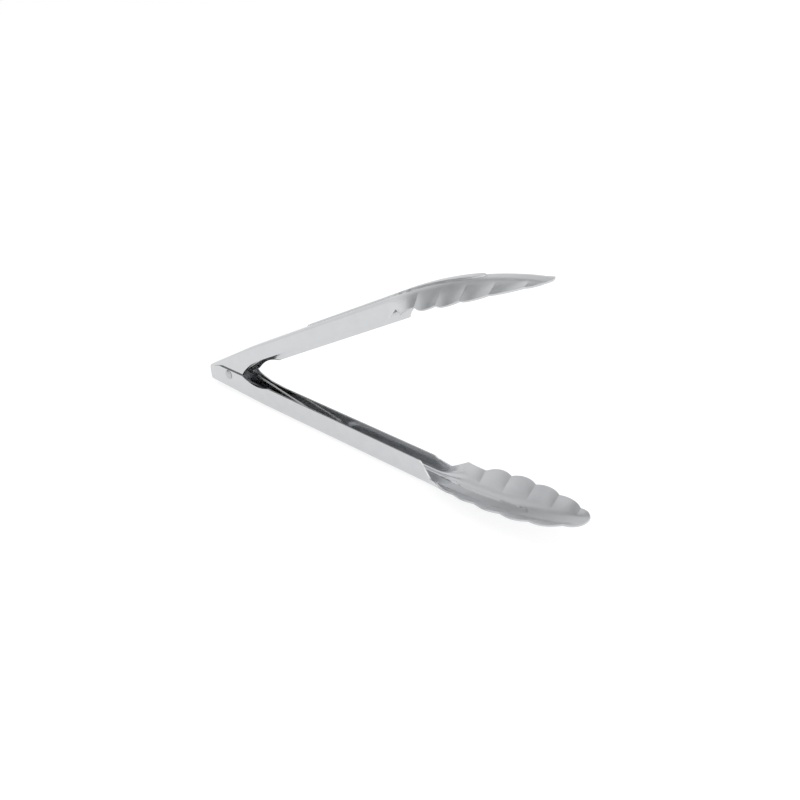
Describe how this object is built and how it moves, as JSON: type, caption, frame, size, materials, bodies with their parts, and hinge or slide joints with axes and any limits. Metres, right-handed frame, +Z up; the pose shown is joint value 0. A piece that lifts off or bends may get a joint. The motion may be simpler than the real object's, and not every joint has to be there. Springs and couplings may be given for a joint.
{
  "type": "spring loaded kitchen tongs",
  "caption": "Pair of stamped steel kitchen tongs: two channel handles with scalloped spoon jaws, riveted at the heel and held open by a torsion spring.",
  "frame": {"origin": "centre of the open tongs in plan, on the surface the lower arm lies on", "axes": "+X along the lower arm towards the jaws, +Y along the pivot rivet, +Z up"},
  "size_m": [0.3071, 0.0376, 0.1343],
  "materials": {
    "arm_steel": "polished stainless sheet, satin inside the jaws",
    "rivet_steel": "bright stainless rivet",
    "spring_steel": "drawn spring wire"
  },
  "bodies": {
    "lower": {"lower_arm": "arm_steel", "pivot_rivet": "rivet_steel", "torsion_spring": "spring_steel"},
    "upper": {"upper_arm": "arm_steel"}
  },
  "joints": [
    {"name": "pivot", "type": "hinge", "parent": "lower", "child": "upper", "pos_m": [-0.12848, 0, 0.0138], "axis": [0, 1, 0], "range_deg": [0, 24.1], "stiffness_Nm_per_rad": 0.35, "springref_deg": -34.38, "deforming": ["torsion_spring"]}
  ]
}
